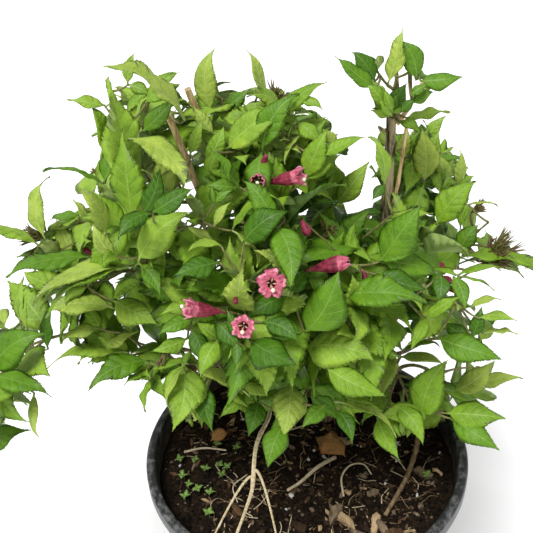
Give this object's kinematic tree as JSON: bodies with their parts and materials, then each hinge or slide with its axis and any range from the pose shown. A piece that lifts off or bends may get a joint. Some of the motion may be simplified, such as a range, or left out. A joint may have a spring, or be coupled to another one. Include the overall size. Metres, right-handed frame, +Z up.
{
  "type": "potted weigela",
  "caption": "Young weigela shrub with several stems, toothed green leaves and pink trumpet flowers, growing in a round black nursery pot.",
  "frame": {"origin": "centre of the pot's flat underside", "axes": "+Z up, -Y towards the side the picture was taken from"},
  "size_m": [0.5437, 0.4172, 0.5853],
  "materials": {
    "pot_plastic": "matt black blow-moulded plastic, greyed and scuffed along the lip",
    "potting_soil": "moist bark compost with chips, fibres and white perlite",
    "bark": "thin grey-brown bark, finely streaked",
    "bare_wood": "dry pale tan wood",
    "foliage": "toothed green leaves with a soft sheen and sunken veins, and deep pink flowers"
  },
  "bodies": {
    "root": {"bare_bough": "bare_wood", "bare_twig_left": "bare_wood", "bare_twig_middle": "bare_wood", "bare_twig_right": "bare_wood", "bough_back_left": "bark", "bough_back_right": "bark", "bough_far_left": "bark", "bough_front": "bark", "bough_front_left": "bark", "bough_front_right": "bark", "bough_left_brow": "bark", "bough_left_face": "bark", "bough_left_low": "bark", "bough_right_brow": "bark", "bough_right_low": "bark", "bough_right_skirt": "bark", "bough_top_right": "bark", "foliage_back": "foliage", "foliage_back_left": "foliage", "foliage_back_low": "foliage", "foliage_back_right": "foliage", "foliage_back_skirt": "foliage", "foliage_brow": "foliage", "foliage_far_left": "foliage", "foliage_front": "foliage", "foliage_front_left": "foliage", "foliage_front_right": "foliage", "foliage_heart": "foliage", "foliage_high_right": "foliage", "foliage_left_back": "foliage", "foliage_left_brow": "foliage", "foliage_left_face": "foliage", "foliage_left_low": "foliage", "foliage_left_middle": "foliage", "foliage_middle_left": "foliage", "foliage_middle_right": "foliage", "foliage_right_back": "foliage", "foliage_right_brow": "foliage", "foliage_right_face": "foliage", "foliage_right_heart": "foliage", "foliage_right_low": "foliage", "foliage_right_middle": "foliage", "foliage_right_skirt": "foliage", "foliage_top": "foliage", "foliage_top_left": "foliage", "foliage_top_middle": "foliage", "foliage_top_right": "foliage", "foliage_tuft": "foliage", "foliage_upper_left": "foliage", "pot": "pot_plastic", "soil": "potting_soil", "stem_back": "bark", "stem_cut_left": "bark", "stem_cut_middle": "bark", "stem_front_left": "bark", "stem_front_right": "bark", "stem_leader": "bark", "stem_left": "bark", "stem_right": "bark", "stem_woody": "bark"}
  },
  "joints": []
}
